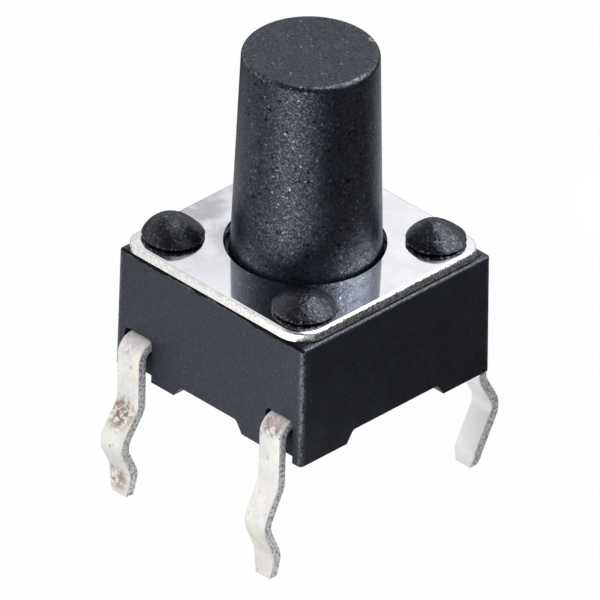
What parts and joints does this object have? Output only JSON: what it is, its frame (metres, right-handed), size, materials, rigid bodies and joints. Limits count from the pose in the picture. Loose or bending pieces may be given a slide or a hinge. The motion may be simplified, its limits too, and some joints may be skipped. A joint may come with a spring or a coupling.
{
  "type": "tactile push-button switch",
  "caption": "Square through-hole tactile switch with a tall round stem, a staked metal cover plate and kinked snap-in legs.",
  "frame": {"origin": "centre of the face that sits on the board, under the four feet", "axes": "+Z along the stem, away from the board; X along each terminal strip, from leg to leg; Y from strip to strip"},
  "size_m": [0.0076, 0.006, 0.0116],
  "materials": {
    "housing_plastic": "fine-grained moulded black plastic",
    "plate_steel": "bright rolled stainless sheet with sheared edges",
    "plunger_plastic": "spark-eroded moulded black plastic with a sparkling fine grain",
    "dome_steel": "thin rolled spring sheet",
    "terminal_tin": "pale satin tin plate with sheared grey sides and brownish rub marks at the bends"
  },
  "bodies": {
    "switch_body": {"housing": "housing_plastic", "cover_plate": "plate_steel", "snap_dome": "dome_steel", "centre_contact_terminal": "terminal_tin", "side_contact_terminal": "terminal_tin"},
    "button": {"plunger": "plunger_plastic"}
  },
  "joints": [
    {"name": "plunger_press", "type": "slide", "parent": "switch_body", "child": "button", "axis": [0, 0, -1], "range_m": [0, 0.00025], "stiffness_N_per_m": 6280, "deforming": ["snap_dome"]}
  ]
}
